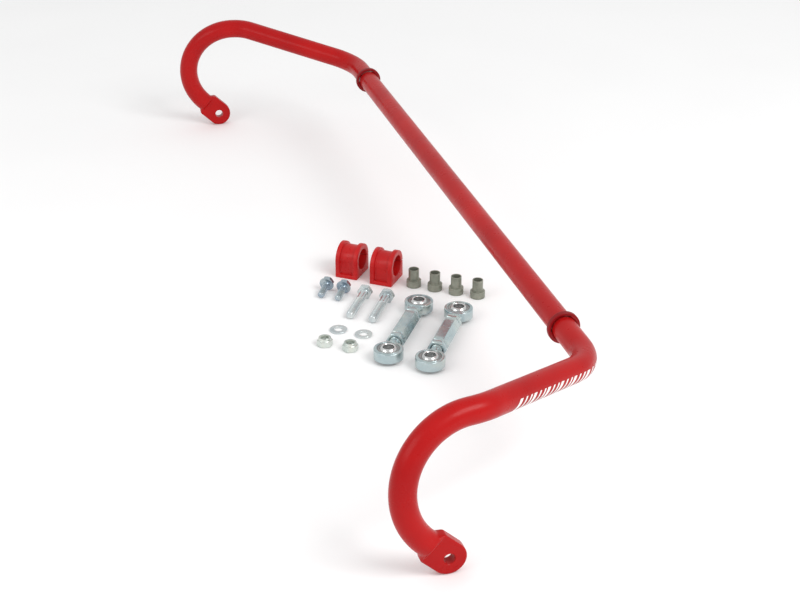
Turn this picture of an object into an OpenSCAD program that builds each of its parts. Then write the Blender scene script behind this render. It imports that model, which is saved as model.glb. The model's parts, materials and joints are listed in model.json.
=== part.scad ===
// Sway bar kit: a bent bar with stop rings, two bushings, two adjustable end links and their hardware.
// The origin is on the bar's axis, halfway between its ends. +X runs along the straight middle of the
// bar, the arms reach towards -Y, and +Z is up. The loose hardware lies on the same level as the paddles.

/* [Bar] */
// Diameter of the bar
bar_d = 25.4; // [19:0.1:32]
// From the middle of the bar to the start of the elbow
straight_half = 427.5; // [340:0.5:515]
// Centreline radius of the elbow
elbow_r = 64; // [50:1:80]
// Turn of the elbow
elbow_angle = 54.5; // [40:0.5:70]
// Climb of the arm's plane above level
arm_climb = 12.7; // [0:0.1:20]
// Straight run of the arm after the elbow
arm_len = 133.8; // [90:1:160]
// Roll about the arm before the splay bend
splay_roll = 27.4; // [0:0.1:40]
// Turn of the splay bend, which brings the arm nearly square to the bar
splay_angle = 28; // [15:0.1:40]
// Centreline radius of the splay bend
splay_r = 50; // [40:1:80]
// Short straight run between the splay bend and the hook
splay_run = 2; // [1:0.5:20]
// Roll about the arm before the hook
hook_roll = 74; // [60:0.1:95]
// Turn of the hook
hook_angle = 136.3; // [110:0.5:150]
// Centreline radius of the hook
hook_r = 67.1; // [55:1:85]

/* [Paddles] */
// From the end of the hook to the centre of the hole
paddle_run = 27.6; // [24:0.2:36]
// Width of the flattened end
paddle_w = 33.4; // [27:0.5:42]
// Thickness of the flattened end
paddle_t = 11; // [8:0.5:14]
// Flat length before the centre of the hole
paddle_flat = 19.6; // [12:0.2:21]
// Hole for the end link's bolt
paddle_hole_d = 11; // [9:0.1:13]

/* [Stop rings] */
// From the middle of the bar to the middle of a ring
ring_x = 385; // [260:1:460]
// Outside diameter of a ring
ring_od = 34; // [28:0.2:44]
// Gap between the bar and the ring's bore, which the welds bridge
ring_gap = 1.4; // [0.4:0.1:2.5]
// Width of a ring along the bar
ring_w = 6; // [4:0.5:10]
// Rounding of a ring's outer edges
ring_edge = 1.2; // [0.2:0.1:1.4]
// Arc of each tack weld
weld_arc = 56; // [20:1:80]
// Where the first tack weld sits around the bar, from straight below towards +Y
weld_at = 125; // [0:1:360]

/* [Bushings] */
// Length of a bushing along its bore
bushing_len = 28; // [22:0.5:40]
// Radial wall of a bushing at its lips
bushing_wall = 6.3; // [5:0.1:10]
// From the flat base to the axis of the bore
bushing_axis_h = 20.5; // [18:0.1:30]
// Width of each end lip
lip_w = 5.5; // [3:0.5:8]
// Depth of the strap's groove between the lips
groove_depth = 2.8; // [1:0.1:3.5]
// Height of the foot below the groove
foot_h = 5; // [3:0.5:8]
// Width of the slit that lets a bushing open over the bar
slit_w = 0.8; // [0.5:0.1:2]
// Radial running clearance on the bar
bushing_clear = 0.05; // [0.02:0.01:0.1]

/* [Sleeves] */
// Total height of a sleeve
sleeve_h = 22.4; // [16:0.1:30]
// Height of its wide end
sleeve_head_h = 8.4; // [5:0.1:12]
// Diameter of its wide end
sleeve_head_d = 17.6; // [15:0.1:22]
// Radial clearance in a ball's bore
sleeve_clear = 0.03; // [0.02:0.01:0.1]
// Bore for the long bolt
sleeve_bore_d = 10.3; // [10.1:0.1:11]
// Bevel of its edges
sleeve_bevel = 0.5; // [0.2:0.1:0.8]

/* [Long bolts] */
// Thread diameter of a long bolt
bolt_d = 10; // [8:0.5:10]
// Length under the head
bolt_len = 55; // [40:1:80]
// Head across the flats
bolt_af = 16; // [13:0.5:19]
// Height of the head
bolt_head_h = 6.4; // [5:0.1:9]
// Chamfer at the tip
bolt_tip = 1.2; // [0.5:0.1:2]

/* [Flange bolts] */
// Thread diameter of a flange bolt
flange_bolt_d = 8; // [6:0.5:10]
// Length under the flange
flange_bolt_len = 22; // [14:1:40]
// Head across the flats
flange_bolt_af = 13; // [10:0.5:15]
// Height of the head above the flange
flange_bolt_head_h = 6; // [4:0.5:9]
// Diameter of the flange
flange_d = 17.5; // [15.5:0.5:22]
// Thickness of the flange at its rim
flange_t = 1.6; // [1:0.1:3]
// Rise of the flange from its rim to the hexagon
flange_rise = 1; // [0.5:0.1:2]
// Chamfer at the tip
flange_bolt_tip = 1; // [0.5:0.1:2]

/* [Washers and nuts] */
// Outside diameter of a washer
washer_od = 20; // [18:0.5:30]
// Hole of a washer
washer_id = 10.5; // [10.2:0.1:12]
// Thickness of a washer
washer_t = 2; // [1:0.1:3]
// Nut across the flats
nut_af = 16; // [15:0.5:20]
// Height of a nut
nut_h = 10; // [8:0.5:14]
// Height of the nut's hexagon
nut_hex_h = 7; // [5:0.5:9]
// Diameter of the nut's round top
nut_top_d = 14.4; // [13:0.1:15]
// Height of the nylon ring
insert_h = 2.2; // [1.5:0.1:2.5]
// Rolled lip above the nylon ring
nut_lip = 0.6; // [0.3:0.1:1]
// Wall around the nylon ring
nut_wall = 0.9; // [0.6:0.1:1.5]

/* [End links] */
// Between the two ball centres of a link
link_len = 122; // [100:1:150]
// Diameter of the rod end's head
head_d = 33.3; // [30:0.1:40]
// Width of the rod end's head
head_w = 12.7; // [10:0.1:15]
// Rounding of the head's outer edges
head_edge = 3.2; // [1:0.1:4]
// Width of a ball
ball_w = 15.9; // [13:0.1:18]
// Diameter of the ball's sphere
ball_d = 22.2; // [21:0.1:24]
// Bore of a ball
ball_bore_d = 12.7; // [10:0.1:13]
// Outside diameter of a race
race_d = 26; // [25:0.1:28]
// Recess of a race below the head's faces
race_recess = 0.8; // [0:0.1:1.5]
// Radial clearance between ball and race
ball_clear = 0.05; // [0.02:0.01:0.1]
// Thread diameter of a rod end
shank_d = 12.7; // [10:0.1:14]
// From the ball centre to the start of the thread
neck_len = 22; // [20:0.5:26]
// From the ball centre to the end of the thread
shank_end = 54; // [44:1:60]
// Chamfer at the end of the thread
shank_tip = 1; // [0.5:0.1:2]
// Radial clearance of a rod end's thread
thread_clear = 0.05; // [0.02:0.01:0.1]
// Coupler and jam nuts across the flats
link_af = 19; // [17:0.1:24]
// Thickness of a jam nut
jam_nut_t = 7.9; // [6:0.1:10]
// From the ball centre to the near face of a jam nut
jam_nut_at = 25; // [24:0.5:30]
// Gap between a jam nut and the coupler
jam_gap = 0.1; // [0.05:0.05:0.3]

/* [Layout] */
// Direction of the rows of hardware, from +X towards +Y
row_angle = 53; // [0:1:90]
// Direction in which bolts and links point, from +X towards +Y
reach_angle = -32; // [-90:1:0]
// First bushing, centre of its base
bushing_place = [-31.5, -113];
// Step from one bushing to the next
bushing_step = 46; // [40:1:80]
// Direction of that step, from +X towards +Y, a little off the bushings' own bores
bushing_row_angle = 50; // [0:1:90]
// First sleeve
sleeve_place = [24, -50.5];
// Step from one sleeve to the next along the row
sleeve_step = 27; // [24:1:50]
// First flange bolt, at the underside of its head
flange_bolt_place = [10, -155];
// Step from one flange bolt to the next along the row
flange_bolt_step = 22; // [20:1:40]
// First long bolt, at the underside of its head
bolt_place = [43, -117];
// Step from one long bolt to the next along the row
bolt_step = 28; // [24:1:50]
// First washer
washer_place = [112, -165];
// First nut
nut_place = [142, -188];
// Step from one washer or nut to the next along the row
washer_step = 31; // [26:1:60]
// First link, at the centre of its upper ball
link_place = [92.5, -64];
// Step from one link to the next along the row
link_step = 49; // [42:1:80]

/* [Hidden] */
LINKS = [1, 2];

$fn = 96;
EPS = 0.01;
// How much a bend is thinner than the straight runs, and how far these lap over its ends
bend_thinning = 0.2;
lap = 0.3;
// Depth of a metric thread as a share of its pitch, and the pitch of the nuts' thread
THREAD_DEPTH = 0.61;
M10_PITCH = 1.5;
// How far the nylon ring's bore is smaller than the bolt, and the mouth above it larger than that bore
insert_grip = 0.7;
insert_mouth = 1.4;
// Share of a hexagon's corner height that its chamfer takes, and where corners are cut square to an edge
HEX_CHAMFER = 0.6;
CUT_SIDES = 4;
// How far a tack weld bites into the stop ring
WELD_BITE = 0.2;
// How much wider than the head the neck starts, and how deep inside the head's rim
NECK_FLARE = 1;
NECK_DEPTH = 3;
// Margin that keeps the paddle's flanks and its wedge off the tube's own surface
SWAGE_MARGIN = 0.5;

// Rigid moves as matrices, which carry the bar's path from bend to bend
function roll(a) = [[1, 0, 0, 0], [0, cos(a), -sin(a), 0], [0, sin(a), cos(a), 0], [0, 0, 0, 1]];
function turn(a) = [[cos(a), -sin(a), 0, 0], [sin(a), cos(a), 0, 0], [0, 0, 1, 0], [0, 0, 0, 1]];
function move(v) = [[1, 0, 0, v.x], [0, 1, 0, v.y], [0, 0, 1, v.z], [0, 0, 0, 1]];
function origin_of(m) = [m[0][3], m[1][3], m[2][3]];

// Each bend: roll about the tube, turn, centreline radius and the straight run that follows
BENDS = [
    [180 - arm_climb, elbow_angle, elbow_r, arm_len],
    [splay_roll, splay_angle, splay_r, splay_run],
    [hook_roll, hook_angle, hook_r, paddle_run]
];
function bend_move(b) = roll(b[0]) * move([b[2] * sin(b[1]), b[2] * (1 - cos(b[1])), 0]) * turn(b[1]);
function frame_at(n) =
    n == 0
        ? move([straight_half, 0, 0])
        : frame_at(n - 1) * bend_move(BENDS[n - 1]) * move([BENDS[n - 1][3], 0, 0]);

// The paddle is rolled about the tube until its hole is as parallel to X as it can be
hook_end = frame_at(3);
paddle_frame = hook_end * roll(atan2(-hook_end[0][1], hook_end[0][2]));
rest_z = origin_of(paddle_frame).z - paddle_w / 2;

bushing_bore_r = bar_d / 2 + bushing_clear;
bushing_lip_r = bushing_bore_r + bushing_wall;
sleeve_d = ball_bore_d - 2 * sleeve_clear;
nut_bore_d = bolt_d - 2 * THREAD_DEPTH * M10_PITCH;
insert_d = nut_top_d - 2 * nut_wall;
insert_bore_d = bolt_d - insert_grip;
insert_base = nut_h - nut_lip - insert_h;
race_w = head_w - 2 * race_recess;
coupler_start = jam_nut_at + jam_nut_t + jam_gap;
coupler_len = link_len - 2 * coupler_start;

function row_dir(step) = step * [cos(row_angle), sin(row_angle)];

// ---- shared shapes ----

// Puts a piece at a spot on the level that the kit lies on
module lay(spot, height, heading) {
    translate([spot.x, spot.y, rest_z + height]) rotate([0, 0, heading]) children();
}

// Hexagonal prism along +Z with its corners turned off at the chosen ends
module hex_prism(af, h, chamfer_low, chamfer_high) {
    corner = af / sqrt(3);
    flat = af / 2;
    outside = corner + 1;
    slope = HEX_CHAMFER * (outside - flat);
    low_r = chamfer_low ? flat : outside;
    high_r = chamfer_high ? flat : outside;
    low = chamfer_low ? slope : 0;
    high = chamfer_high ? slope : 0;
    intersection() {
        rotate([0, 0, 30]) cylinder(r = corner, h = h, $fn = 6);
        rotate_extrude() polygon([
            [0, 0], [low_r, 0], [outside, low], [outside, h - high], [high_r, h], [0, h]
        ]);
    }
}

// Round bar along +Z with a chamfered far end
module stud(d, h, chamfer) {
    rotate_extrude() polygon([[0, 0], [d / 2, 0], [d / 2, h - chamfer], [d / 2 - chamfer, h], [0, h]]);
}

// A bolt that lies down touches the ground with its head and its tip
module lying_bolt(spot, head_r, tip_r, length) {
    tilt = atan((head_r - tip_r) / length);
    lay(spot, head_r * cos(tilt), reach_angle) rotate([0, 90 + tilt, 0]) children();
}

// ---- bar ----

// A bend thins the tube by a hair, and the straight runs on both sides lap over its ends
module bend(b) {
    rotate([b[0], 0, 0]) translate([0, b[2], 0]) rotate([0, 0, -90])
        rotate_extrude(angle = b[1]) translate([b[2], 0]) circle(d = bar_d - bend_thinning);
}

module straight(run) {
    translate([-lap, 0, 0]) rotate([0, 90, 0]) cylinder(d = bar_d, h = run + 2 * lap);
}

module arm() {
    for (n = [0 : 2]) multmatrix(frame_at(n)) bend(BENDS[n]);
    for (n = [0 : 1]) multmatrix(frame_at(n) * bend_move(BENDS[n])) straight(BENDS[n][3]);
    paddle();
}

// Flattened end with a round tip. The tube's last stretch is pressed down to the paddle's thickness
module paddle() {
    swage = paddle_run - paddle_flat;
    neck_half = sqrt(bar_d * bar_d - paddle_t * paddle_t) / 2 - SWAGE_MARGIN;
    multmatrix(paddle_frame) difference() {
        union() {
            linear_extrude(paddle_t, center = true) union() {
                circle(d = paddle_w);
                polygon([
                    [-paddle_run, -neck_half], [-paddle_flat, -paddle_w / 2], [0, -paddle_w / 2],
                    [0, paddle_w / 2], [-paddle_flat, paddle_w / 2], [-paddle_run, neck_half]
                ]);
            }
            intersection() {
                translate([-paddle_run, 0, 0]) straight(swage);
                rotate([90, 0, 0]) linear_extrude(bar_d + 2, center = true) polygon([
                    [-paddle_run - 1, -bar_d / 2 - SWAGE_MARGIN], [-paddle_flat, -paddle_t / 2],
                    [-paddle_flat, paddle_t / 2], [-paddle_run - 1, bar_d / 2 + SWAGE_MARGIN]
                ]);
            }
        }
        cylinder(d = paddle_hole_d, h = 2 * paddle_t, center = true);
    }
}

module bar() {
    color("red") {
        translate([-straight_half, 0, 0]) straight(2 * straight_half);
        arm();
        mirror([1, 0, 0]) arm();
    }
}

// Loose ring on the bar, held by two tack welds that fill part of its gap
module stop_ring() {
    rim_r = ring_od / 2;
    bore_r = bar_d / 2 + ring_gap;
    weld_w = ring_w * 2 / 3;
    weld_h = ring_gap + WELD_BITE;
    color("darkred") rotate([0, 90, 0]) {
        rotate_extrude() difference() {
            translate([bore_r, -ring_w / 2]) square([rim_r - bore_r, ring_w]);
            for (s = [-1, 1]) translate([rim_r, s * ring_w / 2]) circle(r = ring_edge, $fn = CUT_SIDES);
        }
        for (side = [0, 180]) rotate([0, 0, side + weld_at - weld_arc / 2])
            rotate_extrude(angle = weld_arc) translate([bar_d / 2, -weld_w / 2]) square([weld_h, weld_w]);
    }
}

module stop_ring_near() {
    translate([ring_x, 0, 0]) stop_ring();
}

module stop_ring_far() {
    translate([-ring_x, 0, 0]) stop_ring();
}

// ---- bushings ----

// Arch over a flat base, drawn with the bore's axis at the origin
module arch(r, base_w) {
    circle(r = r);
    translate([-base_w / 2, -bushing_axis_h]) square([base_w, bushing_axis_h]);
}

module bushing(n) {
    groove_r = bushing_lip_r - groove_depth;
    spot = bushing_place + n * bushing_step * [cos(bushing_row_angle), sin(bushing_row_angle)];
    color("crimson") lay(spot, bushing_axis_h, row_angle)
        rotate([90, 0, 90]) difference() {
            union() {
                translate([0, 0, -bushing_len / 2]) linear_extrude(bushing_len) arch(groove_r, 2 * groove_r);
                for (end = [-bushing_len / 2, bushing_len / 2 - lip_w])
                    translate([0, 0, end]) linear_extrude(lip_w) arch(bushing_lip_r, 2 * bushing_lip_r);
                translate([-bushing_lip_r, -bushing_axis_h, -bushing_len / 2])
                    cube([2 * bushing_lip_r, foot_h, bushing_len]);
            }
            cylinder(r = bushing_bore_r, h = bushing_len + 2, center = true);
            translate([0, -slit_w / 2, -bushing_len / 2 - 1])
                cube([bushing_lip_r + 1, slit_w, bushing_len + 2]);
        }
}

module bushing_1() {
    bushing(0);
}

module bushing_2() {
    bushing(1);
}

// ---- sleeves ----

module sleeve(n) {
    r = sleeve_d / 2;
    head_r = sleeve_head_d / 2;
    bore_r = sleeve_bore_d / 2;
    rim = sleeve_bevel / 2;
    color("#7a7c70") lay(sleeve_place + row_dir(n * sleeve_step), 0, 0)
        rotate_extrude() polygon([
            [bore_r, 0], [head_r - sleeve_bevel, 0], [head_r, sleeve_bevel],
            [head_r, sleeve_head_h - sleeve_bevel], [head_r - sleeve_bevel, sleeve_head_h],
            [r, sleeve_head_h], [r, sleeve_h - rim], [r - rim, sleeve_h], [bore_r, sleeve_h]
        ]);
}

module sleeve_1() {
    sleeve(0);
}

module sleeve_2() {
    sleeve(1);
}

module sleeve_3() {
    sleeve(2);
}

module sleeve_4() {
    sleeve(3);
}

// ---- bolts, washers and nuts ----

module flange_bolt(n) {
    spot = flange_bolt_place + row_dir(n * flange_bolt_step);
    color("#a9b8c4") lying_bolt(spot, flange_d / 2, flange_bolt_d / 2, flange_bolt_len) {
        stud(flange_bolt_d, flange_bolt_len, flange_bolt_tip);
        mirror([0, 0, 1]) {
            cylinder(d = flange_d, h = flange_t);
            translate([0, 0, flange_t]) cylinder(d1 = flange_d, d2 = flange_bolt_af, h = flange_rise);
            hex_prism(flange_bolt_af, flange_t + flange_bolt_head_h, false, true);
        }
    }
}

module flange_bolt_1() {
    flange_bolt(0);
}

module flange_bolt_2() {
    flange_bolt(1);
}

module long_bolt(n) {
    spot = bolt_place + row_dir(n * bolt_step);
    color("silver") lying_bolt(spot, bolt_af / 2, bolt_d / 2, bolt_len) {
        stud(bolt_d, bolt_len, bolt_tip);
        mirror([0, 0, 1]) hex_prism(bolt_af, bolt_head_h, false, true);
    }
}

module long_bolt_1() {
    long_bolt(0);
}

module long_bolt_2() {
    long_bolt(1);
}

module washer(n) {
    color("gainsboro") lay(washer_place + row_dir(n * washer_step), 0, 0) difference() {
        cylinder(d = washer_od, h = washer_t);
        translate([0, 0, -1]) cylinder(d = washer_id, h = washer_t + 2);
    }
}

module washer_1() {
    washer(0);
}

module washer_2() {
    washer(1);
}

module nut(n) {
    color("lightgray") lay(nut_place + row_dir(n * washer_step), 0, row_angle) difference() {
        union() {
            hex_prism(nut_af, nut_hex_h, true, true);
            cylinder(d = nut_top_d, h = nut_h);
        }
        translate([0, 0, -1]) cylinder(d = nut_bore_d, h = nut_h + 2);
        translate([0, 0, insert_base]) cylinder(d = insert_d, h = insert_h);
        translate([0, 0, nut_h - nut_lip - EPS]) cylinder(d = insert_bore_d + insert_mouth, h = nut_lip + 1);
    }
}

module nut_1() {
    nut(0);
}

module nut_2() {
    nut(1);
}

module nut_insert(n) {
    color("whitesmoke") lay(nut_place + row_dir(n * washer_step), insert_base, 0) difference() {
        cylinder(d = insert_d, h = insert_h);
        translate([0, 0, -1]) cylinder(d = insert_bore_d, h = insert_h + 2);
    }
}

module nut_insert_1() {
    nut_insert(0);
}

module nut_insert_2() {
    nut_insert(1);
}

// ---- end links: drawn along +X from the upper ball's centre ----

module link(n) {
    lay(link_place + row_dir(n * link_step), link_af / 2, reach_angle) children();
}

// Turns a shape drawn along +X from the upper ball so that it starts at the lower ball
module lower_end() {
    translate([link_len, 0, 0]) mirror([1, 0, 0]) children();
}

module rod_end() {
    shank_r = shank_d / 2;
    neck_r = head_w / 2 + NECK_FLARE;
    neck_start = head_d / 2 - NECK_DEPTH;
    color("lightsteelblue") difference() {
        union() {
            rotate_extrude() difference() {
                translate([0, -head_w / 2]) square([head_d / 2, head_w]);
                for (s = [-1, 1]) translate([head_d / 2, s * head_w / 2])
                    circle(r = head_edge, $fn = CUT_SIDES);
            }
            rotate([0, 90, 0]) rotate_extrude() polygon([
                [0, head_d / 4], [neck_r, head_d / 4], [neck_r, neck_start], [shank_r, neck_len],
                [shank_r, shank_end - shank_tip], [shank_r - shank_tip, shank_end], [0, shank_end]
            ]);
        }
        cylinder(d = race_d, h = 2 * head_w, center = true);
    }
}

module race() {
    color("slategray") difference() {
        cylinder(d = race_d, h = race_w, center = true);
        sphere(d = ball_d + 2 * ball_clear);
    }
}

module ball() {
    color("gray") difference() {
        intersection() {
            sphere(d = ball_d);
            cube([ball_d + 1, ball_d + 1, ball_w], center = true);
        }
        cylinder(d = ball_bore_d, h = 2 * ball_w, center = true);
    }
}

module jam_nut() {
    color("silver") translate([jam_nut_at, 0, 0]) rotate([0, 90, 0]) difference() {
        hex_prism(link_af, jam_nut_t, true, true);
        translate([0, 0, -1]) cylinder(d = shank_d + 2 * thread_clear, h = jam_nut_t + 2);
    }
}

module coupler() {
    color("silver") translate([coupler_start, 0, 0]) rotate([0, 90, 0]) difference() {
        hex_prism(link_af, coupler_len, true, true);
        translate([0, 0, -1]) cylinder(d = shank_d + 2 * thread_clear, h = coupler_len + 2);
    }
}

// Draws one named piece of link n
module link_piece(name, n) {
    link(n - 1) {
        if (name == "coupler") coupler();
        if (name == "rod_end_upper") rod_end();
        if (name == "rod_end_lower") lower_end() rod_end();
        if (name == "race_upper") race();
        if (name == "race_lower") lower_end() race();
        if (name == "ball_upper") ball();
        if (name == "ball_lower") lower_end() ball();
        if (name == "jam_nut_upper") jam_nut();
        if (name == "jam_nut_lower") lower_end() jam_nut();
    }
}

bar();
stop_ring_near();
stop_ring_far();
bushing_1();
bushing_2();
sleeve_1();
sleeve_2();
sleeve_3();
sleeve_4();
flange_bolt_1();
flange_bolt_2();
long_bolt_1();
long_bolt_2();
washer_1();
washer_2();
nut_1();
nut_2();
nut_insert_1();
nut_insert_2();
for (n = LINKS) {
    link_piece("coupler", n);
    link_piece("rod_end_upper", n);
    link_piece("rod_end_lower", n);
    link_piece("race_upper", n);
    link_piece("race_lower", n);
    link_piece("ball_upper", n);
    link_piece("ball_lower", n);
    link_piece("jam_nut_upper", n);
    link_piece("jam_nut_lower", n);
}
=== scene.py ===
"""Looks of the sway bar kit: the bar, its bushings, end links and hardware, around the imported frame."""

import json
import math

import bmesh
import bpy
import numpy as np
from mathutils import Matrix, Vector


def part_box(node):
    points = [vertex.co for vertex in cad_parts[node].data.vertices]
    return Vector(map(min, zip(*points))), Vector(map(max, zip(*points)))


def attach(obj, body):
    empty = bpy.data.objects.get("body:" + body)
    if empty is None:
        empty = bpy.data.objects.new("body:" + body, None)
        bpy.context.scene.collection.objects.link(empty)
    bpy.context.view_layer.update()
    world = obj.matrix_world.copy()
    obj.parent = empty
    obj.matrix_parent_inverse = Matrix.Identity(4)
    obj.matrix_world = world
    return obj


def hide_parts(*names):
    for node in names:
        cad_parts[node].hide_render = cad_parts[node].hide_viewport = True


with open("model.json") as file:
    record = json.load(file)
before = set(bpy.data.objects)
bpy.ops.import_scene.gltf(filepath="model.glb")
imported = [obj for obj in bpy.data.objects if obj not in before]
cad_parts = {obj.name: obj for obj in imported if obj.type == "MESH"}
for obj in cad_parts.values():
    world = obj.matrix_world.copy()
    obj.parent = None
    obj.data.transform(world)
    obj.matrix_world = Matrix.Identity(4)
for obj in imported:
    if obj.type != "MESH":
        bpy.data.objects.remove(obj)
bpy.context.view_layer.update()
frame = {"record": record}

MM = 0.001
COLUMNS = 96
MERGE = 1e-3
UP = Vector((0, 0, 1))
MOUNTS = {m["name"]: m for m in frame["record"]["mounts"]}
ROW = Vector(MOUNTS["bushing_bore_2"]["axis"])
FLOOR_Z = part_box("bushing_1")[0].z


# ---- profiles and shells, in millimetres ----

def rounded(corners, steps=4, closed=True):
    """A profile through corners (r, z, rounding), each corner replaced by a small curve."""
    points = [np.array(c[:2], float) for c in corners]
    out = []
    last = len(corners) - 1
    for i, corner in enumerate(corners):
        radius = corner[2] if len(corner) > 2 else 0
        if not radius or (not closed and i in (0, last)):
            out.append(points[i])
            continue
        before, after = points[i - 1] - points[i], points[(i + 1) % len(points)] - points[i]
        a, b = np.linalg.norm(before), np.linalg.norm(after)
        angle = math.acos(max(-1, min(1, float(before @ after) / (a * b))))
        reach = min(radius / math.tan(angle / 2), 0.49 * a, 0.49 * b)
        start, end = points[i] + before / a * reach, points[i] + after / b * reach
        for k in range(steps + 1):
            t = k / steps
            out.append((1 - t) ** 2 * start + 2 * t * (1 - t) * points[i] + t * t * end)
    return out


def angles(n=COLUMNS):
    return np.arange(n) * 2 * math.pi / n


def circle_row(r, z, n=COLUMNS):
    """A ring of points around the Z axis. r and z are numbers or one value for each point."""
    t = angles(n)
    return np.stack([r * np.cos(t), r * np.sin(t), np.broadcast_to(z, t.shape)], axis=1)


def shell(rows, wrap_rows=False, wrap_cols=True, cap_first=False, cap_last=False, cap_sides=False):
    """Vertices and faces of a surface through rows of points, closed where it is asked to be."""
    rows = np.array([np.asarray(r, float) for r in rows])
    count, cols = rows.shape[:2]
    faces = []
    for r in range(count if wrap_rows else count - 1):
        for c in range(cols if wrap_cols else cols - 1):
            r2, c2 = (r + 1) % count, (c + 1) % cols
            faces.append((r * cols + c, r * cols + c2, r2 * cols + c2, r2 * cols + c))
    if cap_first:
        faces.append(tuple(range(cols)))
    if cap_last:
        faces.append(tuple((count - 1) * cols + c for c in range(cols)))
    if cap_sides:
        faces.append(tuple(r * cols for r in range(count)))
        faces.append(tuple(r * cols + cols - 1 for r in range(count)))
    return rows.reshape(-1, 3), faces


def lathe(profile, n=COLUMNS):
    """A solid of revolution about Z from a closed profile of (r, z) points."""
    return shell([circle_row(p[0], p[1], n) for p in profile], wrap_rows=True)


def joined(*shells):
    """Several surfaces that share their end rings, as one."""
    points, faces, base = [], [], 0
    for verts, polygons in shells:
        points.append(verts)
        faces += [tuple(i + base for i in f) for f in polygons]
        base += len(verts)
    return np.vstack(points), faces


def turned(part, matrix):
    verts, faces = part
    m = np.array(matrix)
    return verts @ m[:3, :3].T + m[:3, 3], faces


THREAD_PHASES = (0.0, 0.125, 0.28, 0.4375, 0.6875, 0.84)
CREST_SHARE, ROOT_START, ROOT_END = 0.125, 0.4375, 0.6875


def thread_depth_at(phase):
    """How deep a 60 degree thread is cut at a phase of its turn: 0 at the crest, 1 at the root."""
    if phase <= CREST_SHARE:
        return 0.0
    if phase < ROOT_START:
        return (phase - CREST_SHARE) / (ROOT_START - CREST_SHARE)
    if phase <= ROOT_END:
        return 1.0
    return (1 - phase) / (1 - ROOT_END)


def thread(crest_r, depth, pitch, z0, z1, end_r=None, chamfer=0.0, fade=1.5):
    """A helical thread from z0 to z1. It fades out at z0, and at z1 it is cut by a cone down to end_r,
    or fades out there too. A negative depth makes an inside thread."""
    rows = []
    turns = int((z1 - z0) / pitch) + 2
    share = np.arange(COLUMNS + 1) / COLUMNS
    for turn in range(-1, turns):
        for phase in THREAD_PHASES:
            z = z0 + pitch * (turn + phase + share)
            z_in = np.clip(z, z0, z1)
            start = np.clip((z_in - z0) / (fade * pitch), 0, 1)
            end = 1.0 if end_r is not None else np.clip((z1 - z_in) / (fade * pitch), 0, 1)
            r = crest_r - depth * thread_depth_at(phase) * start * end
            if end_r is not None:
                cone = end_r + (z1 - z_in) * (crest_r - end_r) / chamfer
                r = np.minimum(r, cone)
            t = share * 2 * math.pi
            rows.append(np.stack([r * np.cos(t), r * np.sin(t), z_in], axis=1))
    return shell(rows, wrap_cols=False)


def hex_radius(across_flats):
    """Distance from the axis to a hexagon's outline, for each column, with flats facing +X."""
    t = (angles() + math.pi / 6) % (math.pi / 3) - math.pi / 6
    return across_flats / 2 / np.cos(t)


HEX_SLOPE = 0.6


def hex_end(across_flats, z_end, sign):
    """Rows where a hexagon meets the cone at one of its ends: on the sides, then on the end face."""
    r = hex_radius(across_flats)
    face_r = across_flats / 2 * 0.95
    return [circle_row(r, z_end - sign * HEX_SLOPE * (r - face_r)), circle_row(face_r, z_end)]


# ---- pieces ----

def place(origin, x_axis, z_axis):
    """Matrix from a piece's own millimetres to the frame's metres."""
    z = Vector(z_axis).normalized()
    x = Vector(x_axis)
    x = (x - z * x.dot(z)).normalized()
    y = z.cross(x)
    turn = Matrix((x, y, z)).transposed().to_4x4()
    return Matrix.Translation(origin) @ turn @ Matrix.Scale(MM, 4)


def mesh_of(name, shells, matrix):
    bm = bmesh.new()
    for verts, faces in shells:
        part = bmesh.new()
        points = [part.verts.new(v) for v in verts]
        for f in faces:
            part.faces.new([points[i] for i in f])
        bmesh.ops.remove_doubles(part, verts=part.verts, dist=MERGE)
        bmesh.ops.dissolve_degenerate(part, edges=part.edges, dist=MERGE / 10)
        bmesh.ops.recalc_face_normals(part, faces=part.faces)
        held = bpy.data.meshes.new("part")
        part.to_mesh(held)
        part.free()
        bm.from_mesh(held)
        bpy.data.meshes.remove(held)
    bm.transform(matrix)
    mesh = bpy.data.meshes.new(name)
    bm.to_mesh(mesh)
    bm.free()
    return mesh


def settle(obj):
    """Replaces an object's mesh by what its modifiers make of it."""
    made = bpy.data.meshes.new_from_object(obj.evaluated_get(bpy.context.evaluated_depsgraph_get()))
    obj.modifiers.clear()
    obj.data = made
    return obj


SHARP = math.radians(32)


def piece(name, shells, matrix, material, body, nodes=(), bevel=0.0, cutters=()):
    """Builds one visible piece, rides it on its body and lets it stand for its CAD nodes."""
    obj = bpy.data.objects.new(name, mesh_of(name, shells, matrix))
    bpy.context.scene.collection.objects.link(obj)
    for cutter in cutters:
        cut = obj.modifiers.new("hole", "BOOLEAN")
        cut.object, cut.operation, cut.solver = cutter, "DIFFERENCE", "EXACT"
    if bevel:
        soft = obj.modifiers.new("edges", "BEVEL")
        soft.width, soft.segments, soft.limit_method = bevel * MM, 2, "ANGLE"
        soft.angle_limit = SHARP
        soft.use_clamp_overlap = True
    if cutters or bevel:
        settle(obj)
    obj.data.polygons.foreach_set("use_smooth", [True] * len(obj.data.polygons))
    obj.data.set_sharp_from_angle(angle=SHARP)
    obj.data.materials.clear()
    obj.data.materials.append(material)
    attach(obj, body)
    if nodes:
        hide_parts(*nodes)
    return obj


# ---- materials ----

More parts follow.
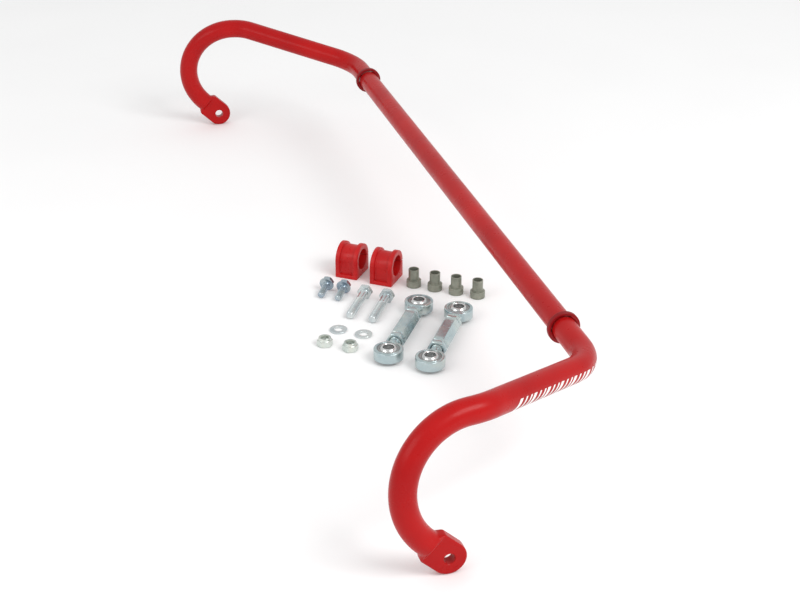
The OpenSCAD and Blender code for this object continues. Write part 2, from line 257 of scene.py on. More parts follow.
class Nodes:
    """A principled material and short calls for the textures that feed it."""

    def __init__(self, name, metallic=0.0, roughness=0.4, coat=0.0, specular=0.5):
        self.material = bpy.data.materials.new(name)
        self.material.use_nodes = True
        self.tree = self.material.node_tree
        self.shader = self.tree.nodes["Principled BSDF"]
        self.shader.inputs["Metallic"].default_value = metallic
        self.shader.inputs["Roughness"].default_value = roughness
        self.shader.inputs["Coat Weight"].default_value = coat
        self.shader.inputs["Specular IOR Level"].default_value = specular
        self.place = self.tree.nodes.new("ShaderNodeTexCoord").outputs["Object"]

    def link(self, a, b):
        self.tree.links.new(a, b)

    def noise(self, scale, detail=3.0, rough=0.55, distortion=0.0, stretch=None):
        n = self.tree.nodes.new("ShaderNodeTexNoise")
        n.inputs["Scale"].default_value = scale
        n.inputs["Detail"].default_value = detail
        n.inputs["Roughness"].default_value = rough
        n.inputs["Distortion"].default_value = distortion
        where = self.place
        if stretch is not None:
            m = self.tree.nodes.new("ShaderNodeMapping")
            m.inputs["Rotation"].default_value = stretch[0]
            m.inputs["Scale"].default_value = stretch[1]
            self.link(self.place, m.inputs["Vector"])
            where = m.outputs["Vector"]
        self.link(where, n.inputs["Vector"])
        return n.outputs["Fac"]

    def ramp(self, fac, stops):
        n = self.tree.nodes.new("ShaderNodeValToRGB")
        while len(n.color_ramp.elements) < len(stops):
            n.color_ramp.elements.new(0.5)
        for element, (at, colour) in zip(n.color_ramp.elements, stops):
            element.position = at
            element.color = (*colour, 1) if len(colour) == 3 else colour
        self.link(fac, n.inputs["Fac"])
        return n.outputs["Color"]

    def spread(self, fac, low, high, start=0.3, end=0.7):
        n = self.tree.nodes.new("ShaderNodeMapRange")
        for key, value in zip(("From Min", "From Max", "To Min", "To Max"), (start, end, low, high)):
            n.inputs[key].default_value = value
        self.link(fac, n.inputs["Value"])
        return n.outputs["Result"]

    def mix(self, fac, a, b):
        n = self.tree.nodes.new("ShaderNodeMix")
        n.data_type = "RGBA"
        self.link(fac, n.inputs["Factor"])
        for socket, value in ((n.inputs[6], a), (n.inputs[7], b)):
            if isinstance(value, tuple):
                socket.default_value = (*value, 1)
            else:
                self.link(value, socket)
        return n.outputs[2]

    def bump(self, height, distance, strength=1.0, below=None):
        n = self.tree.nodes.new("ShaderNodeBump")
        n.inputs["Distance"].default_value = distance
        n.inputs["Strength"].default_value = strength
        self.link(height, n.inputs["Height"])
        if below is not None:
            self.link(below, n.inputs["Normal"])
        self.link(n.outputs["Normal"], self.shader.inputs["Normal"])
        return n.outputs["Normal"]

    def wear(self, low=0.5, high=0.58):
        """Bright where the surface is convex, such as along edges."""
        g = self.tree.nodes.new("ShaderNodeNewGeometry")
        return self.spread(g.outputs["Pointiness"], 0.0, 1.0, low, high)


def powder_coat(name, dark, light, rough_low, rough_high):
    """Sprayed powder paint: orange peel, a slight change of tone and fine dust specks."""
    m = Nodes(name, roughness=0.36, coat=0.03, specular=0.15)
    m.shader.inputs["Coat Roughness"].default_value = 0.12
    tone = m.ramp(m.noise(14, 4), [(0.32, dark), (0.7, light)])
    specks = m.spread(m.noise(2600, 2), 0, 1, 0.7, 0.76)
    speck_tone = tuple(min(1, c * 1.25 + 0.015) for c in light)
    m.link(m.mix(specks, tone, speck_tone), m.shader.inputs["Base Color"])
    m.link(m.spread(m.noise(60, 5), rough_low, rough_high), m.shader.inputs["Roughness"])
    peel = m.bump(m.noise(520, 2, 0.45), 0.00005, 0.5)
    m.bump(m.noise(1900, 2), 0.00001, 0.5, peel)
    return m.material


def polyurethane(name):
    """Moulded polyurethane: smooth, slightly glossy, with soft clouds and faint flow lines."""
    m = Nodes(name, roughness=0.34, coat=0.04, specular=0.25)
    m.shader.inputs["Subsurface Weight"].default_value = 0.12
    m.shader.inputs["Subsurface Radius"].default_value = (0.004, 0.0008, 0.0005)
    m.link(m.ramp(m.noise(45, 3), [(0.3, (0.44, 0.006, 0.007)), (0.72, (0.54, 0.010, 0.010))]),
           m.shader.inputs["Base Color"])
    m.link(m.spread(m.noise(160, 4), 0.24, 0.42), m.shader.inputs["Roughness"])
    flow = m.bump(m.noise(90, 2, 0.4, 1.2), 0.00012, 0.35)
    m.bump(m.noise(1500, 3), 0.00002, 0.4, flow)
    return m.material


def turned_steel(name, dark, light, metallic, rough_low, rough_high, lines=3000):
    """Turned steel with fine lines around a vertical axis and stains of handling."""
    m = Nodes(name, metallic=metallic, roughness=0.45)
    around = m.noise(1.0, 2, 0.6, 0.0, ((0, 0, 0), (20, 20, lines)))
    stains = m.noise(120, 5)
    tone = m.ramp(stains, [(0.3, dark), (0.7, light)])
    bright = tuple(min(1, c * 1.5) for c in light)
    m.link(m.mix(m.wear(0.52, 0.62), tone, bright), m.shader.inputs["Base Color"])
    m.link(m.spread(around, rough_low, rough_high), m.shader.inputs["Roughness"])
    m.bump(around, 0.00001, 0.4)
    return m.material


def zinc(name, tints, rough_low, rough_high, grain=(0, 0, 0), metallic=0.9):
    """Zinc plate: a tint that drifts across the surface, fine grain, dull spots and brighter edges."""
    m = Nodes(name, metallic=metallic, roughness=0.3)
    drift = m.noise(38, 2, 0.5, 0.8)
    tone = m.ramp(drift, [(0.3, tints[0]), (0.5, tints[1]), (0.7, tints[2])])
    spots = m.spread(m.noise(700, 3), 0, 0.12, 0.6, 0.8)
    dull = tuple(c * 0.8 for c in tints[1])
    worn = m.mix(m.wear(0.53, 0.66), m.mix(spots, tone, dull), tuple(min(1, c * 1.12) for c in tints[1]))
    m.link(worn, m.shader.inputs["Base Color"])
    m.link(m.spread(m.noise(240, 4), rough_low, rough_high), m.shader.inputs["Roughness"])
    lines = m.noise(1.0, 3, 0.6, 0.0, (grain, (150, 1600, 1600)))
    brushed = m.bump(lines, 0.000004, 0.35)
    m.bump(m.noise(900, 2), 0.000003, 0.5, brushed)
    return m.material


def nylon(name):
    m = Nodes(name, roughness=0.45)
    m.shader.inputs["Subsurface Weight"].default_value = 0.3
    m.shader.inputs["Subsurface Radius"].default_value = (0.001, 0.001, 0.0008)
    m.link(m.ramp(m.noise(300, 3), [(0.3, (0.34, 0.38, 0.33)), (0.7, (0.52, 0.56, 0.5))]),
           m.shader.inputs["Base Color"])
    m.bump(m.noise(900, 3), 0.00003, 0.4)
    return m.material


def white_print(name):
    """Printed white film with slightly thin, worn patches."""
    m = Nodes(name, roughness=0.38)
    tones = [(0.3, (0.62, 0.45, 0.44)), (0.42, (0.84, 0.82, 0.8)), (0.8, (0.9, 0.89, 0.88))]
    m.link(m.ramp(m.noise(700, 4), tones), m.shader.inputs["Base Color"])
    m.bump(m.noise(1200, 2), 0.00001, 0.3)
    return m.material


RED = powder_coat("red_powder_coat", (0.36, 0.004, 0.005), (0.45, 0.007, 0.007), 0.24, 0.36)
# The stop rings take the bar's red powder coat made darker: painted shade for the shadow their faces sit
# in, not a different paint.
RING_RED_PAINTED_SHADE = powder_coat("stop_ring_coat", (0.20, 0.003, 0.005), (0.28, 0.005, 0.007), 0.3, 0.46)
RUBBER = polyurethane("polyurethane")
SLEEVE_STEEL = turned_steel("machined_steel", (0.20, 0.21, 0.17), (0.33, 0.34, 0.28), 0.55, 0.32, 0.6)
BLUE_ZINC = zinc("blue_zinc", ((0.30, 0.38, 0.46), (0.40, 0.47, 0.52), (0.48, 0.53, 0.53)), 0.22, 0.3)
CLEAR_ZINC = zinc("clear_zinc", ((0.50, 0.56, 0.58), (0.62, 0.67, 0.68), (0.68, 0.71, 0.69)), 0.2, 0.28)
NUT_ZINC = zinc("nut_zinc", ((0.50, 0.57, 0.54), (0.64, 0.69, 0.65), (0.72, 0.72, 0.64)), 0.26, 0.36)
LINK_ZINC = zinc("link_zinc", ((0.36, 0.46, 0.49), (0.48, 0.57, 0.58), (0.58, 0.64, 0.61)), 0.2, 0.28)
RACE_STEEL = turned_steel("race_steel", (0.26, 0.27, 0.27), (0.42, 0.43, 0.42), 0.85, 0.25, 0.45)
BALL_STEEL = turned_steel("ball_steel", (0.55, 0.56, 0.56), (0.70, 0.71, 0.70), 0.95, 0.14, 0.26, 900)
NYLON = nylon("nylon")
PRINT = white_print("white_print")


# ---- the bar ----

BAR_R = 12.7
STRAIGHT_HALF = 427.5
ARM_CLIMB = 12.7
# roll about the tube, turn, centreline radius, straight run that follows
BENDS = ((180 - ARM_CLIMB, 54.5, 64.0, 133.8), (27.4, 28.0, 50.0, 2.0), (74.0, 136.3, 67.1, 27.6))
BEND_STEP = 2.5
PADDLE_R, PADDLE_T, PADDLE_FLAT, PADDLE_ROUND = 16.7, 11.0, 19.6, 1.6
HOLE_R, HOLE_CHAMFER = 5.5, 0.5
TIP_ANGLE, TIP_STEPS = 86, 20
WALL_SHARE, ROUND_SHARE = 4 / 24, 10 / 24


def along(x):
    return np.array([[1, 0, 0, x], [0, 1, 0, 0], [0, 0, 1, 0], [0, 0, 0, 1]], float)


def rolled(degrees):
    c, s = math.cos(math.radians(degrees)), math.sin(math.radians(degrees))
    return np.array([[1, 0, 0, 0], [0, c, -s, 0], [0, s, c, 0], [0, 0, 0, 1]], float)


def bent(degrees, radius):
    c, s = math.cos(math.radians(degrees)), math.sin(math.radians(degrees))
    rows = [[c, -s, 0, radius * s], [s, c, 0, radius * (1 - c)], [0, 0, 1, 0], [0, 0, 0, 1]]
    return np.array(rows, float)


def near_path():
    """Frames along the near half of the bar with the roll so far, the paddle's frame and its roll."""
    stations = [(along(x), 0.0) for x in np.linspace(0, STRAIGHT_HALF, 10)]
    here, roll = along(STRAIGHT_HALF), 0.0
    for i, (turn_by, angle, radius, run) in enumerate(BENDS):
        here, roll = here @ rolled(turn_by), roll + turn_by
        steps = int(angle / BEND_STEP)
        for k in range(1, steps + 1):
            stations.append((here @ bent(angle * k / steps, radius), roll))
        here = here @ bent(angle, radius)
        if i < 2:
            pieces = max(1, int(run / 20))
            stations += [(here @ along(run * k / pieces), roll) for k in range(1, pieces + 1)]
            here = here @ along(run)
    settle_roll = math.degrees(math.atan2(-here[0][1], here[0][2]))
    paddle = here @ rolled(settle_roll) @ along(BENDS[2][3])
    return stations, paddle, roll + settle_roll


def paddle_section(x, share):
    """Half width and half height of the flattened end at x, for a share of a quarter turn."""
    half = PADDLE_T / 2
    if x > 0:
        near_edge = max(0.0, PADDLE_R - x)
        dip = max(0.0, PADDLE_ROUND - near_edge)
        top = half - PADDLE_ROUND + math.sqrt(max(0.0, PADDLE_ROUND ** 2 - dip ** 2))
    else:
        top = half

    def reach(radius):
        if x <= 0:
            return radius
        return math.sqrt(radius ** 2 - x ** 2) if radius > x else 0.0

    if share <= WALL_SHARE:
        return reach(PADDLE_R), (half - PADDLE_ROUND) * share / WALL_SHARE
    if share <= ROUND_SHARE:
        a = (share - WALL_SHARE) / (ROUND_SHARE - WALL_SHARE) * math.pi / 2
        y = reach(PADDLE_R - PADDLE_ROUND * (1 - math.cos(a)))
        return y, min(top, half - PADDLE_ROUND * (1 - math.sin(a)))
    return reach(PADDLE_R - PADDLE_ROUND) * (1 - share) / (1 - ROUND_SHARE), top


def smooth(t):
    t = min(1.0, max(0.0, t))
    return t * t * t * (t * (6 * t - 15) + 10)


def section_points(x, flatness):
    """One ring of the tube at x from the hole, from round (0) to fully flattened (1)."""
    points = []
    for k in range(COLUMNS):
        t = 2 * math.pi * k / COLUMNS
        y, z = BAR_R * math.cos(t), BAR_R * math.sin(t)
        if flatness > 0:
            quarter = (k % (COLUMNS // 2)) / (COLUMNS // 4)
            a, b = paddle_section(x, quarter if quarter <= 1 else 2 - quarter)
            a, b = math.copysign(a, math.cos(t)), math.copysign(b, math.sin(t))
            y, z = y + (a - y) * flatness, z + (b - z) * flatness
        points.append((x, y, z, 1))
    return np.array(points)


def bar_rows():
    """Rings of points from the far tip of the bar to the near one."""
    stations, paddle, total = near_path()
    rows = []
    for place_at, roll in stations:
        t = angles() + math.radians(total - roll)
        ring = np.stack([0 * t, BAR_R * np.cos(t), BAR_R * np.sin(t), 1 + 0 * t], axis=1)
        rows.append((ring @ place_at.T)[:, :3])
    run = BENDS[2][3]
    for x in np.linspace(-run, -PADDLE_FLAT, 16)[1:]:
        rows.append((section_points(x, smooth((x + run) / (run - PADDLE_FLAT))) @ paddle.T)[:, :3])
    for x in np.linspace(-PADDLE_FLAT, 0, 5)[1:]:
        rows.append((section_points(x, 1.0) @ paddle.T)[:, :3])
    for k in range(1, TIP_STEPS + 1):
        x = PADDLE_R * math.sin(math.radians(TIP_ANGLE * k / TIP_STEPS))
        rows.append((section_points(x, 1.0) @ paddle.T)[:, :3])
    mirrored = [r * np.array([-1, 1, 1]) for r in rows[:0:-1]]
    return mirrored + rows


def hole_cutter(name):
    """A hole with chamfered rims, at one of the bar's paddle mounts."""
    mount = MOUNTS[name]
    half, over, rim = PADDLE_T / 2, PADDLE_T, HOLE_R + HOLE_CHAMFER
    profile = [(0, -over), (rim + over - half, -over), (rim, -half), (HOLE_R, -half + HOLE_CHAMFER),
               (HOLE_R, half - HOLE_CHAMFER), (rim, half), (rim + over - half, over), (0, over)]
    rows = [circle_row(r, z) for r, z in profile]
    obj = bpy.data.objects.new("cutter", mesh_of("cutter", [shell(rows)],
                                                 place(mount["pos_m"], UP, mount["axis"])))
    bpy.context.scene.collection.objects.link(obj)
    return obj


def make_bar():
    cutters = [hole_cutter("paddle_hole_near"), hole_cutter("paddle_hole_far")]
    bar = piece("sway_bar", [shell(bar_rows(), cap_first=True, cap_last=True)], Matrix.Scale(MM, 4), RED,
                "bar", ["bar"], cutters=cutters)
    for cutter in cutters:
        bpy.data.objects.remove(cutter)
    return bar


STRIPE_LIFT, STRIPE_T = 0.03, 0.06
# along the arm from the end of its elbow, negative on the elbow itself
STRIPES_FROM, STRIPES_TO, STRIPE_PITCH, STRIPE_SLANT = -36, 114, 7.5, -7
STRIPE_WIDTHS = (2.4, 4.6, 2.4)
STRIPE_MID, STRIPE_SPAN = 170, 58


def arm_frame(distance):
    """A frame on the near arm, or on the elbow before it where the distance is negative."""
    turn_by, angle, radius, _ = BENDS[0]
    elbow = along(STRAIGHT_HALF) @ rolled(turn_by)
    if distance >= 0:
        return elbow @ bent(angle, radius) @ along(distance)
    return elbow @ bent(angle + math.degrees(distance / radius), radius)


def make_stripes():
    """Plain slanted stripes printed on the near arm."""
    shells = []
    for n, start in enumerate(np.arange(STRIPES_FROM, STRIPES_TO, STRIPE_PITCH)):
        width = STRIPE_WIDTHS[n % len(STRIPE_WIDTHS)]
        loops = []
        for a in np.linspace(-0.5, 0.5, 15):
            t = math.radians(STRIPE_MID + STRIPE_SPAN * a)
            frames = [arm_frame(start + STRIPE_SLANT * a + width * share) for share in (0, 0.5, 1)]
            low, high = BAR_R + STRIPE_LIFT, BAR_R + STRIPE_LIFT + STRIPE_T
            loop = [f @ (0, low * math.cos(t), low * math.sin(t), 1) for f in frames]
            loop += [f @ (0, high * math.cos(t), high * math.sin(t), 1) for f in frames[::-1]]
            loops.append(np.array(loop)[:, :3])
        shells.append(shell(loops, cap_first=True, cap_last=True))
    piece("arm_stripes", shells, Matrix.Scale(MM, 4), PRINT, "bar")


# ---- stop rings ----

RING_X, RING_R, RING_BORE, RING_W = 385.0, 17.0, 14.1, 6.0
WELD_HALF, WELD_AT = 28, 35
BEAD_R, BEAD_RIPPLE, BEAD_RIPPLES = 1.5, 0.14, 9
BEAD_SINK, BEAD_OUT, BEAD_STEPS, BEAD_SIDES = 0.2, 0.5, 60, 16
ROOT_SHORT, ROOT_HALF, ROOT_BITE_IN, ROOT_BITE_OUT = 3, 2, 0.2, 0.3
RING_ROUND, RING_BORE_ROUND = 1.3, 0.4


def weld_bead(centre, side):
    """A rippled bead in the gap between the bar and a ring, on one face of the ring."""
    rows = []
    for k in range(BEAD_STEPS + 1):
        s = k / BEAD_STEPS
        t = math.radians(centre + (2 * s - 1) * WELD_HALF)
        swell = math.sqrt(max(0.03, 1 - (2 * s - 1) ** 4))
        r = (BEAD_R + BEAD_RIPPLE * math.sin(s * BEAD_RIPPLES * 2 * math.pi)) * swell
        loop = []
        for a in angles(BEAD_SIDES):
            radial = (BAR_R + RING_BORE) / 2 + BEAD_OUT + r * math.cos(a)
            axial = side * (RING_W / 2 - BEAD_SINK + r * math.sin(a))
            loop.append((radial * math.cos(t), radial * math.sin(t), axial))
        rows.append(loop)
    return shell(rows, cap_first=True, cap_last=True)


def weld_root(centre):
    """The weld metal inside the gap."""
    low, high = BAR_R - ROOT_BITE_IN, RING_BORE + ROOT_BITE_OUT
    corners = ((low, -ROOT_HALF), (high, -ROOT_HALF), (high, ROOT_HALF), (low, ROOT_HALF))
    rows = []
    for a in np.linspace(-WELD_HALF + ROOT_SHORT, WELD_HALF - ROOT_SHORT, 13):
        t = math.radians(centre + a)
        rows.append([(r * math.cos(t), r * math.sin(t), z) for r, z in corners])
    return shell(rows, cap_first=True, cap_last=True)


def make_stop_rings():
    half = RING_W / 2
    profile = rounded([(RING_BORE, -half, RING_BORE_ROUND), (RING_R, -half, RING_ROUND),
                       (RING_R, half, RING_ROUND), (RING_BORE, half, RING_BORE_ROUND)], 6)
    for name, side in (("stop_ring_near", 1), ("stop_ring_far", -1)):
        shells = [lathe(profile, 128)]
        for centre in (WELD_AT, WELD_AT + 180):
            shells += [weld_bead(centre, 1), weld_bead(centre, -1), weld_root(centre)]
        # The rings get the darker copy of the bar's red, which is painted shade.
        piece(name + "_welded", shells, place((side * RING_X * MM, 0, 0), (0, 1, 0), (1, 0, 0)),
              RING_RED_PAINTED_SHADE, "bar", [name])


# ---- bushings ----

BORE_R, LIP_R, GROOVE_R = 12.75, 19.05, 16.25
AXIS_H, FOOT_H, BUSHING_LEN, LIP_W, SLIT = 20.5, 5.0, 28.0, 5.5, 0.8


def arch_outline(r):
    """Outline of a bushing's section with an arch of radius r, from one side of the slit on."""
    half_slit, ledge = SLIT / 2, -(AXIS_H - FOOT_H)
    start = math.asin(half_slit / r)
    points = [(r * math.cos(t), r * math.sin(t)) for t in np.linspace(start, math.pi, 61)]
    points += [(-r, y) for y in np.linspace(0, ledge, 13)[1:]]
    points += [(x, ledge) for x in np.linspace(-r, -LIP_R, 4)[1:]]
    points += [(-LIP_R, y) for y in np.linspace(ledge, -AXIS_H, 5)[1:]]
    points += [(x, -AXIS_H) for x in np.linspace(-LIP_R, LIP_R, 25)[1:]]
    points += [(LIP_R, y) for y in np.linspace(-AXIS_H, ledge, 5)[1:]]
    points += [(x, ledge) for x in np.linspace(LIP_R, r, 4)[1:]]
    points += [(r, y) for y in np.linspace(ledge, -half_slit, 13)[1:]]
    return np.array(points)


def bushing_shell():
    lip, groove = arch_outline(LIP_R), arch_outline(GROOVE_R)
    t = np.arctan2(lip[:, 1], lip[:, 0])
    bore = np.stack([BORE_R * np.cos(t), BORE_R * np.sin(t)], axis=1)
    half_slit = SLIT / 2
    bore[0] = (math.sqrt(BORE_R ** 2 - half_slit ** 2), half_slit)
    bore[-1] = (math.sqrt(BORE_R ** 2 - half_slit ** 2), -half_slit)
    end, inner = BUSHING_LEN / 2, BUSHING_LEN / 2 - LIP_W
    rows = []
    rings = ((bore, -end), (lip, -end), (lip, -inner), (groove, -inner), (groove, 0),
             (groove, inner), (lip, inner), (lip, end), (bore, end), (bore, 0))
    for outline, z in rings:
        rows.append(np.column_stack([outline, np.full(len(outline), z)]))
    return shell(rows, wrap_rows=True, wrap_cols=False, cap_sides=True)


def make_bushings():
    for n in (1, 2):
        name = f"bushing_{n}"
        matrix = place(MOUNTS[f"bushing_bore_{n}"]["pos_m"], UP.cross(ROW), ROW)
        piece(name + "_moulded", [bushing_shell()], matrix, RUBBER, name, [name],
              bevel=0.7)


# ---- sleeves, washers and nuts ----

def make_sleeves():
    bore, r, head_r, head_h, height = 5.15, 6.32, 8.8, 8.4, 22.4
    profile = rounded([(bore, 0, 0.3), (head_r, 0, 0.5), (head_r, head_h, 0.5), (r + 0.15, head_h, 0.25),
                       (r, head_h + 1.2, 0.3), (r, height, 0.25), (bore, height, 0.25)])
    for n in (1, 2, 3, 4):
        name = f"sleeve_{n}"
        at = Vector(MOUNTS[f"sleeve_bore_{n}"]["pos_m"])
        at.z = FLOOR_Z
        piece(name + "_turned", [lathe(profile)], place(at, ROW, UP), SLEEVE_STEEL, name,
              [name])


def make_washers():
    profile = rounded([(5.25, 0, 0.35), (10, 0, 0.35), (10, 2, 0.5), (5.25, 2, 0.35)], 3)
    for n in (1, 2):
        name = f"washer_{n}"
        at = Vector(MOUNTS[f"washer_hole_{n}"]["pos_m"])
        at.z = FLOOR_Z
        piece(name + "_stamped", [lathe(profile)], place(at, ROW, UP), CLEAR_ZINC, name,
              [name])


M10_PITCH, M8_PITCH, HALF_INCH_PITCH = 1.5, 1.25, 1.27
DEPTH_SHARE = 0.6134
NYLON_BORE = 4.65


def make_nuts():
    af, hex_h, height, top_r = 16, 7, 10, 7.2
    minor, pocket_r, pocket_z, mouth_r = 4.085, 6.3, 7.2, 5.35
    low, high = hex_end(af, 0, -1), hex_end(af, hex_h, 1)
    lip_z = height - 0.6
    collar = rounded([(top_r + 0.4, hex_h), (top_r, hex_h + 0.5, 0.3), (top_r, height, 1.5),
                      (mouth_r, height, 0.3), (mouth_r, lip_z), (pocket_r, lip_z), (pocket_r, pocket_z),
                      (minor, pocket_z)], closed=False)
    rows = [circle_row(minor, 0.9), circle_row(minor + 1.0, 0), low[1], low[0], high[0]]
    rows += [circle_row(p[0], p[1]) for p in collar]
    bore = thread(minor, -DEPTH_SHARE * M10_PITCH, M10_PITCH, 0.9, pocket_z)
    ring = rounded([(NYLON_BORE, pocket_z, 0.2), (pocket_r, pocket_z), (pocket_r, lip_z),
                    (NYLON_BORE, lip_z, 0.5)])
    for n in (1, 2):
        at = Vector(MOUNTS[f"nut_thread_{n}"]["pos_m"])
        at.z = FLOOR_Z
        matrix = place(at, ROW, UP)
        piece(f"nut_{n}_body", [joined(shell(rows), bore)], matrix, NUT_ZINC, f"nut_{n}",
              [f"nut_{n}"])
        piece(f"nut_{n}_ring", [lathe(ring)], matrix, NYLON, f"nut_{n}", [f"nut_insert_{n}"])


# ---- bolts, drawn along +Z from the underside of the head ----

def tip_rows(r, z):
    """The chamfered end of a thread, closed by a slightly domed face."""
    return [circle_row(r, z), circle_row(r * 0.6, z + 0.05), circle_row(0, z + 0.05)]


def bolt_shell(d, length, pitch, plain, chamfer, head_rows, fillet):
    r = d / 2
    end_r = r - chamfer
    end_z = length - 0.05
    shank = [circle_row(r, plain), circle_row(r, plain * 0.5 + fillet), circle_row(r, fillet),
             circle_row(r + fillet * 0.3, fillet * 0.3), circle_row(r + fillet, 0)]
    body = shell(shank + head_rows)
    cut = thread(r, DEPTH_SHARE * pitch, pitch, plain, end_z, end_r, chamfer)
    return joined(body, cut, shell(tip_rows(end_r, end_z)))


def hex_head(af, z_base, z_top, dish):
    """Rows of a hexagon head from its foot to the middle of its top face."""
    sides, face = hex_end(af, z_top, -1)
    r_dish = af * 0.3
    return [circle_row(hex_radius(af), z_base), sides, face, circle_row(r_dish + 0.6, z_top),
            circle_row(r_dish, z_top + dish), circle_row(0, z_top + dish)]


def bolt_place(mount_name):
    """A lying bolt's matrix: its mount lies on the axis, half of the gripped length from the head."""
    mount = MOUNTS[mount_name]
    axis = Vector(mount["axis"])
    start = Vector(mount["pos_m"]) - axis * mount["dims"]["length_mm"] / 2 * MM
    return place(start, UP, axis)


def make_long_bolts():
    seat_r = 7.4
    head = [circle_row(seat_r, 0), circle_row(seat_r, -0.35), hex_end(16, -0.35, 1)[1]]
    head += hex_head(16, -0.35 - 0.25, -6.4, 0.25)
    part = bolt_shell(10, 55, M10_PITCH, 18, 1.2, head, 0.5)
    for n in (1, 2):
        name = f"long_bolt_{n}"
        piece(name + "_body", [part], bolt_place(f"long_bolt_shank_{n}"), CLEAR_ZINC, name,
              [name])


def make_flange_bolts():
    flange_r, flange_t, rise, af, top = 8.75, 1.6, 1.0, 13, 7.6
    hex_r = hex_radius(af)
    cone_z = -(flange_t + rise * (flange_r - hex_r) / (flange_r - af / 2))
    head = [circle_row(flange_r - 0.5, 0), circle_row(flange_r - 0.1, -0.25), circle_row(flange_r, -0.7),
            circle_row(flange_r, -flange_t + 0.3), circle_row(flange_r - 0.25, -flange_t - 0.05)]
    head += [circle_row(hex_r, cone_z)] + hex_head(af, cone_z, -top, 0.3)[1:]
    part = bolt_shell(8, 22, M8_PITCH, 1.6, 1.0, head, 0.4)
    for n in (1, 2):
        name = f"flange_bolt_{n}"
        piece(name + "_body", [part], bolt_place(f"flange_bolt_shank_{n}"), BLUE_ZINC, name,
              [name])


# ---- end links, drawn along +X from the upper ball's centre ----

LINK_AF = 19.0
HEAD_R, HEAD_W, RACE_R, RACE_W, BALL_R, BALL_W = 16.65, 12.7, 13.0, 11.1, 11.1, 15.9
SHANK_R, NECK_LEN, SHANK_END, SHANK_TIP = 6.35, 22.0, 54.0, 1.0
JAM_AT, JAM_T, COUPLER_AT, COUPLER_LEN = 25.0, 7.9, 33.0, 56.0
HEAD_STEP_IN, HEAD_STEP_OUT = 13.9, 14.2
# the neck's foot, inside the head: its distance from the ball's centre, how much wider and how high it is
NECK_FOOT_R, NECK_SPREAD, NECK_FOOT_Z, NECK_EASE = 14.4, 4.2, 5.4, 2.2
# turns a piece drawn along +Z so that it points along +X, with a hexagon's flats facing up and down
ALONG_X = Matrix(((0, 0, 1, 0), (0, 1, 0, 0), (-1, 0, 0, 0), (0, 0, 0, 1)))


def rod_end_shells():
    half = HEAD_W / 2
    lower = [(RACE_R, -half, 0.5), (HEAD_STEP_IN, -half, 0.15), (HEAD_STEP_OUT, -half + 0.3, 0.15),
             (HEAD_R, -half + 0.5, 3.0)]
    upper = [(r, -z, rounding) for r, z, rounding in reversed(lower)]
    head = rounded(lower + upper, 6)
    rows = []
    for s in np.linspace(0, 1, 10):
        ease = (1 - s) ** NECK_EASE
        y_half, z_half = SHANK_R + NECK_SPREAD * ease, SHANK_R + (NECK_FOOT_Z - SHANK_R) * ease
        t = angles()
        y, z = y_half * np.cos(t), z_half * np.sin(t)
        x = np.sqrt(NECK_FOOT_R ** 2 - y ** 2) * (1 - s) + NECK_LEN * s
        rows.append(np.stack([x, y, z], axis=1))
    neck = shell(rows, cap_first=True)
    end_z = SHANK_END - 0.05
    depth, tip_r = DEPTH_SHARE * HALF_INCH_PITCH, SHANK_R - SHANK_TIP
    cut = thread(SHANK_R, depth, HALF_INCH_PITCH, NECK_LEN, end_z, tip_r, SHANK_TIP)
    root = shell([circle_row(SHANK_R, NECK_LEN), circle_row(0, NECK_LEN)])
    shank = joined(cut, shell(tip_rows(tip_r, end_z)), root)
    neck_closed = joined(neck, shell([rows[-1], rows[-1] * np.array([1, 0, 0])]))
    return [lathe(head), neck_closed, turned(shank, ALONG_X)]


def race_shell():
    half = RACE_W / 2
    inner = BALL_R + 0.05
    mouth = math.sqrt(inner ** 2 - half ** 2) + 0.3
    profile = rounded([(RACE_R, -half, 0.3), (RACE_R, half, 0.3), (12.3, half), (12.0, half - 0.35),
                       (11.7, half), (mouth, half, 0.2)])
    profile += [(math.sqrt(inner ** 2 - z ** 2), z) for z in np.linspace(half - 0.3, -half + 0.3, 16)]
    profile += [(mouth, -half), (11.7, -half), (12.0, -half + 0.35), (12.3, -half)]
    return lathe(profile)


def ball_shell():
    half, bore = BALL_W / 2, 6.35
    flat_r = math.sqrt(BALL_R ** 2 - half ** 2)
    profile = [(bore, -half + 0.6), (bore + 0.6, -half), (flat_r - 0.25, -half)]
    top = half - 0.2
    profile += [(math.sqrt(BALL_R ** 2 - z ** 2), z) for z in np.linspace(-top, top, 33)]
    profile += [(flat_r - 0.25, half), (bore + 0.6, half), (bore, half - 0.6)]
    return lathe(profile)


def hex_sleeve(start, length):
    """A hexagon with a countersunk bore, such as a jam nut or a coupler, along +X."""
    low, high = hex_end(LINK_AF, start, -1), hex_end(LINK_AF, start + length, 1)
    bore = SHANK_R + 0.05
    mouth = bore + 0.8
    steps = max(1, int(length / 8))
    sides = [low[0] + (high[0] - low[0]) * k / steps for k in range(steps + 1)]
    rows = [circle_row(bore, start + 0.8), circle_row(mouth, start), low[1], *sides, high[1],
            circle_row(mouth, start + length), circle_row(bore, start + length - 0.8)]
    return turned(shell(rows, wrap_rows=True), ALONG_X)


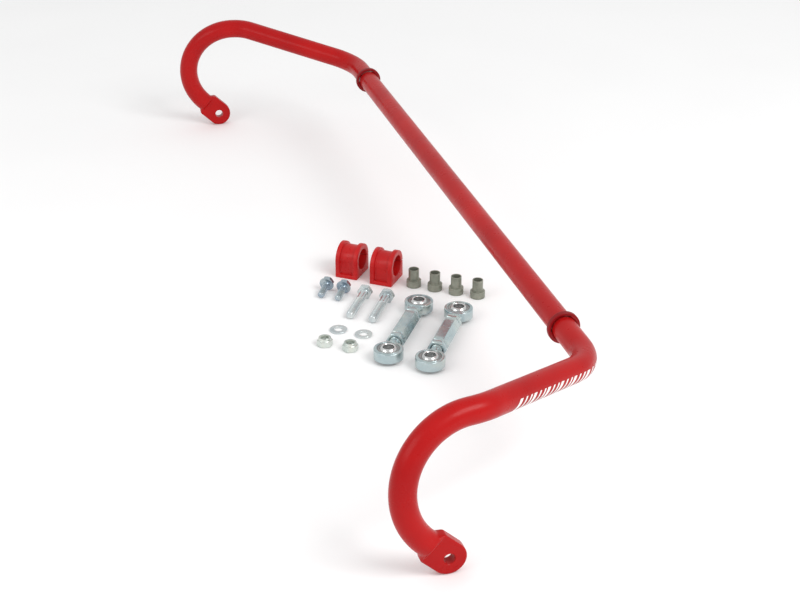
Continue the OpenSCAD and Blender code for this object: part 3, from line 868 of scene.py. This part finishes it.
def make_link(n):
    upper = Vector(MOUNTS[f"link_{n}_upper_eye"]["pos_m"])
    lower = Vector(MOUNTS[f"link_{n}_lower_eye"]["pos_m"])
    reach = (lower - upper).normalized()
    from_upper, from_lower = place(upper, reach, UP), place(lower, -reach, UP)
    body = f"link_{n}"
    for end, matrix, holder in (("upper", from_upper, body + "_upper"), ("lower", from_lower, body)):
        piece(f"{body}_rod_end_{end}", rod_end_shells(), matrix, LINK_ZINC, holder,
              [f"rod_end_{end}_{n}"])
        piece(f"{body}_race_{end}", [race_shell()], matrix, RACE_STEEL, holder,
              [f"race_{end}_{n}"])
        piece(f"{body}_ball_{end}", [ball_shell()], matrix, BALL_STEEL, f"{body}_ball_{end}",
              [f"ball_{end}_{n}"])
        piece(f"{body}_jam_nut_{end}", [hex_sleeve(JAM_AT, JAM_T)], matrix, LINK_ZINC, body + "_jam_nuts",
              [f"jam_nut_{end}_{n}"], bevel=0.18)
    piece(f"{body}_coupler_body", [hex_sleeve(COUPLER_AT, COUPLER_LEN)], from_upper, LINK_ZINC,
          body + "_coupler", [f"coupler_{n}"], bevel=0.22)


# ---- floor, light and camera ----

def make_floor():
    size, steps = 9.0, 12
    side = np.linspace(-size, size, steps)
    rows = [[(x, y, 0) for x in side] for y in side]
    mesh = mesh_of("floor", [shell(rows, wrap_cols=False)], Matrix.Translation((0, 0, FLOOR_Z - 0.0002)))
    floor = bpy.data.objects.new("floor", mesh)
    bpy.context.scene.collection.objects.link(floor)
    m = Nodes("floor_paper", roughness=0.9, specular=0.1)
    m.link(m.ramp(m.noise(3, 2), [(0.3, (0.93, 0.93, 0.93)), (0.7, (0.95, 0.95, 0.95))]),
           m.shader.inputs["Base Color"])
    floor.data.materials.append(m.material)


def area_light(name, at, aim, size, power):
    light = bpy.data.lights.new(name, "AREA")
    light.shape, light.size, light.size_y, light.energy = "RECTANGLE", size[0], size[1], power
    obj = bpy.data.objects.new(name, light)
    obj.location = at
    obj.rotation_euler = (Vector(aim) - Vector(at)).to_track_quat("-Z", "Y").to_euler()
    bpy.context.scene.collection.objects.link(obj)


def make_light():
    world = bpy.data.worlds.new("studio")
    bpy.context.scene.world = world
    world.use_nodes = True
    world.node_tree.nodes["Background"].inputs["Color"].default_value = (1, 1, 1, 1)
    world.node_tree.nodes["Background"].inputs["Strength"].default_value = 0.78
    area_light("key", (1.9, 1.1, 2.0), (0.1, -0.1, -0.1), (1.6, 1.2), 40)
    area_light("fill", (0.9, -2.2, 1.4), (0.2, -0.1, -0.1), (1.8, 1.0), 12)


CAMERA_AT = (1.73661, -0.54363, 0.75846)
CAMERA_TURN, CAMERA_DROP = 15.53, 26.70
LENS_MM, SENSOR_MM = 74.25, 36.0


def make_camera():
    turn, drop = math.radians(CAMERA_TURN), math.radians(CAMERA_DROP)
    forward = Vector((-math.cos(turn) * math.cos(drop), math.sin(turn) * math.cos(drop), -math.sin(drop)))
    data = bpy.data.cameras.new("camera")
    data.sensor_width, data.lens = SENSOR_MM, LENS_MM
    camera = bpy.data.objects.new("camera", data)
    camera.location = CAMERA_AT
    camera.rotation_euler = forward.to_track_quat("-Z", "Y").to_euler()
    bpy.context.scene.collection.objects.link(camera)
    bpy.context.scene.camera = camera


make_camera()
make_light()
make_floor()
make_bar()
make_stripes()
make_stop_rings()
make_bushings()
make_sleeves()
make_washers()
make_nuts()
make_long_bolts()
make_flange_bolts()
make_link(1)
make_link(2)
bpy.context.scene.view_settings.view_transform = "Standard"
